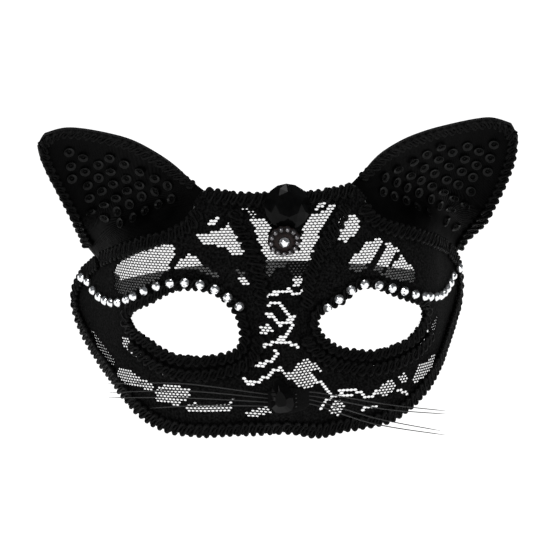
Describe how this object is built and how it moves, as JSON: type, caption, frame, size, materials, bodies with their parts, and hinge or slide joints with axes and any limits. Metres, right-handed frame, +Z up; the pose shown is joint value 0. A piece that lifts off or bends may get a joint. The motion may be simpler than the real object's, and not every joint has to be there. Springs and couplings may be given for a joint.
{
  "type": "cat-ear half mask",
  "caption": "Lace-covered cat half mask with cupped sequin ears, braid trim, brow stones, faceted gems, bristle whiskers and an elastic strap.",
  "frame": {"origin": "inner face of the shell at the bridge of the nose, between the eyes, where the mask rests on the face", "axes": "+X to the viewer's right as the mask is seen from the front, +Y back towards the wearer's head, +Z up"},
  "size_m": [0.209, 0.1442, 0.137],
  "materials": {
    "clear_shell": "clear vacuum-formed sheet",
    "lace": "black patterned lace",
    "braid": "black viscose gimp braid with a soft shine",
    "ear_board": "black stiff backing",
    "ear_satin": "black satin cloth",
    "sequin": "glossy black cup sequin",
    "felt": "black felt",
    "black_gem": "polished faceted black",
    "brooch_base": "dark backing",
    "smoky_stone": "smoky foil-backed stone",
    "clear_stone": "clear foil-backed stone",
    "bristle": "black nylon bristle",
    "elastic": "black ribbed woven elastic"
  },
  "bodies": {
    "mask": {"face_shell": "clear_shell", "lace_cover": "lace", "rim_braid_top": "braid", "rim_braid_lower": "braid", "eye_braid_left": "braid", "eye_braid_right": "braid", "cheek_braid_left": "braid", "cheek_braid_right": "braid", "brow_braid_left": "braid", "brow_braid_right": "braid", "ear_base_braid_left": "braid", "ear_base_braid_right": "braid", "ear_former_left": "ear_board", "ear_former_right": "ear_board", "ear_front_fabric_left": "ear_satin", "ear_front_fabric_right": "ear_satin", "ear_back_fabric_left": "ear_satin", "ear_back_fabric_right": "ear_satin", "ear_sequins_left": "sequin", "ear_sequins_right": "sequin", "ear_rim_braid_left": "braid", "ear_rim_braid_right": "braid", "ear_tab_left": "felt", "ear_tab_right": "felt", "forehead_gem": "black_gem", "brooch_plate": "brooch_base", "brooch_stones": "smoky_stone", "brooch_centre_stone": "clear_stone", "brow_stones_left": "clear_stone", "brow_stones_right": "clear_stone", "nose_gem": "black_gem", "whisker_pad": "felt", "whiskers_left": "bristle", "whiskers_right": "bristle", "strap_tab_left": "felt", "strap_tab_right": "felt"},
    "strap": {"elastic_strap": "elastic"}
  },
  "joints": [
    {"name": "strap_swing", "type": "hinge", "parent": "mask", "child": "strap", "pos_m": [0, 0.066, -0.0045], "axis": [1, 0, 0], "range_deg": [-45, 60]}
  ]
}
